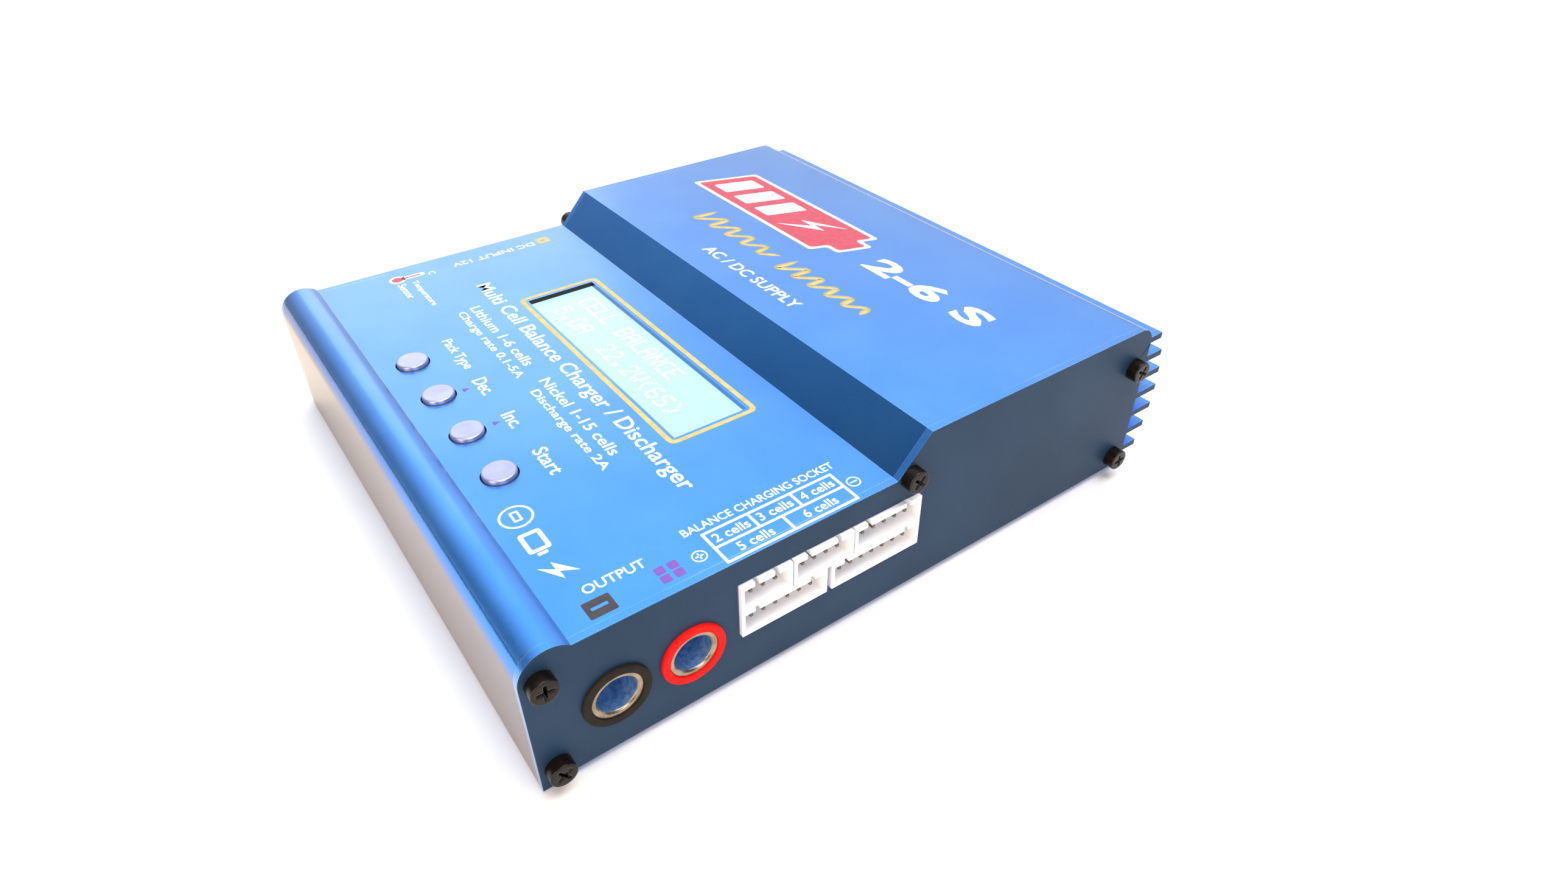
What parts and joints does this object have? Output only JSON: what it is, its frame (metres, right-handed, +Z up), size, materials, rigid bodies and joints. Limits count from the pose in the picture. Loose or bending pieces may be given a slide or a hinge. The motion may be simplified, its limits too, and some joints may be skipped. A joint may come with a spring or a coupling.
{
  "type": "balance battery charger",
  "caption": "Flat bench charger for model battery packs: blue extruded case with two deck levels, display window, round keys, output and balance sockets, cooling fins.",
  "frame": {"origin": "centre of the footprint, on the surface that the rubber feet stand on", "axes": "+X to the right, towards the output sockets; -Y towards the front edge with the keys; +Y towards the cooling fins; +Z up"},
  "size_m": [0.1398, 0.149, 0.0369],
  "materials": {
    "base_metal": "brushed sheet",
    "black_plastic": "moulded",
    "black_screw_steel": "black oxide on steel",
    "blue_paint": "satin anodised blue extrusion",
    "board_green": "solder mask on laminate",
    "bright_metal": "plated",
    "capacitor_sleeve": "shrink sleeve",
    "ferrite": "sintered ferrite",
    "key_chrome": "satin plated cap",
    "lcd_frame": "black steel frame",
    "lcd_glass": "clear display glass",
    "lcd_light": "pale light guide",
    "lead_black": "soft insulation",
    "lead_red": "soft insulation",
    "pin_brass": "dull tinned brass",
    "red_plastic": "moulded",
    "rubber": "matt",
    "slate_paint": "satin slate blue sheet",
    "socket_nickel": "nickel plated, turned",
    "stem_plastic": "moulded",
    "white_nylon": "moulded nylon",
    "winding_tape": "yellow winding tape"
  },
  "bodies": {
    "case": {"balance_board": "board_green", "balance_pins_2_cells": "pin_brass", "balance_pins_3_cells": "pin_brass", "balance_pins_4_cells": "pin_brass", "balance_pins_5_cells": "pin_brass", "balance_pins_6_cells": "pin_brass", "balance_socket_2_cells": "white_nylon", "balance_socket_3_cells": "white_nylon", "balance_socket_4_cells": "white_nylon", "balance_socket_5_cells": "white_nylon", "balance_socket_6_cells": "white_nylon", "base_plate": "base_metal", "board_screws": "bright_metal", "board_spacers": "bright_metal", "case_shell": "blue_paint", "controller_chip": "black_plastic", "key_switches": "black_plastic", "keypad_board": "board_green", "keypad_spacers": "bright_metal", "lcd_backlight": "lcd_light", "lcd_bezel": "lcd_frame", "lcd_board": "board_green", "lcd_glass": "lcd_glass", "lcd_link_pins": "bright_metal", "lcd_spacers": "bright_metal", "left_end_plate": "slate_paint", "left_plate_screws": "black_screw_steel", "low_voltage_jack": "black_plastic", "low_voltage_pin": "pin_brass", "main_board": "board_green", "mains_capacitor": "capacitor_sleeve", "mains_inlet": "black_plastic", "mains_inlet_blades": "bright_metal", "negative_lead": "lead_black", "negative_socket_ring": "black_plastic", "negative_socket_sleeve": "socket_nickel", "output_capacitors": "capacitor_sleeve", "positive_lead": "lead_red", "positive_socket_ring": "red_plastic", "positive_socket_sleeve": "socket_nickel", "power_board": "board_green", "power_inductor": "ferrite", "power_transistors": "black_plastic", "right_end_plate": "slate_paint", "right_plate_screws": "black_screw_steel", "rubber_feet": "rubber", "sensor_pins": "bright_metal", "sensor_socket": "black_plastic", "socket_nuts": "socket_nickel", "transformer_core": "ferrite", "transformer_winding": "winding_tape"},
    "battery_type_key": {"battery_type_button": "key_chrome", "battery_type_stem": "stem_plastic"},
    "decrease_key": {"decrease_button": "key_chrome", "decrease_stem": "stem_plastic"},
    "increase_key": {"increase_button": "key_chrome", "increase_stem": "stem_plastic"},
    "start_key": {"start_button": "key_chrome", "start_stem": "stem_plastic"}
  },
  "joints": [
    {"name": "battery_type_press", "type": "slide", "parent": "case", "child": "battery_type_key", "axis": [0, 0, -1], "range_m": [0, 0.0003], "stiffness_N_per_m": 1500},
    {"name": "decrease_press", "type": "slide", "parent": "case", "child": "decrease_key", "axis": [0, 0, -1], "range_m": [0, 0.0003], "stiffness_N_per_m": 1500},
    {"name": "increase_press", "type": "slide", "parent": "case", "child": "increase_key", "axis": [0, 0, -1], "range_m": [0, 0.0003], "stiffness_N_per_m": 1500},
    {"name": "start_press", "type": "slide", "parent": "case", "child": "start_key", "axis": [0, 0, -1], "range_m": [0, 0.0003], "stiffness_N_per_m": 1500}
  ]
}
